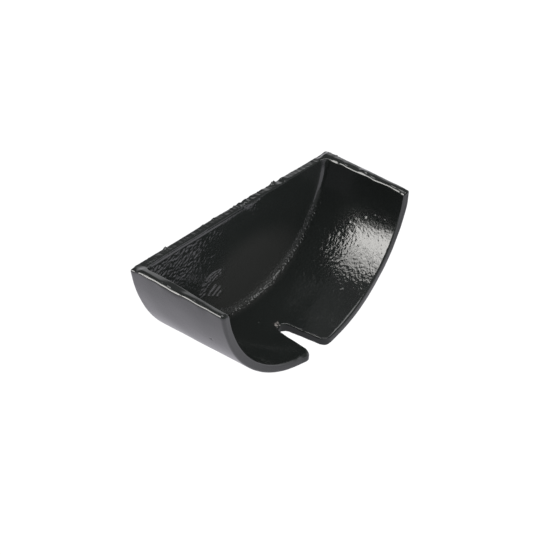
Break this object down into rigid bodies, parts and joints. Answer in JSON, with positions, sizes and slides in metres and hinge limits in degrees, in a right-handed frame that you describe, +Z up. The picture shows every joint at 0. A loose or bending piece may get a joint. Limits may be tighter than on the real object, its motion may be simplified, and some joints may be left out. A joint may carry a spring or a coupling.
{
  "type": "gutter end cap",
  "caption": "Cast iron end cap that closes a half-round gutter: a flat plate with a curved socket wall, open on top, and a bolt slot in its bottom.",
  "frame": {"origin": "on the axis of the gutter's round, straight above the centre of the bolt slot's round end", "axes": "+X along the gutter and out of the socket's mouth, +Y across the gutter, +Z up"},
  "size_m": [0.052, 0.133, 0.0602],
  "materials": {
    "black_paint": "gloss black paint over the cast skin"
  },
  "bodies": {
    "root": {"end_cap": "black_paint"}
  },
  "joints": []
}
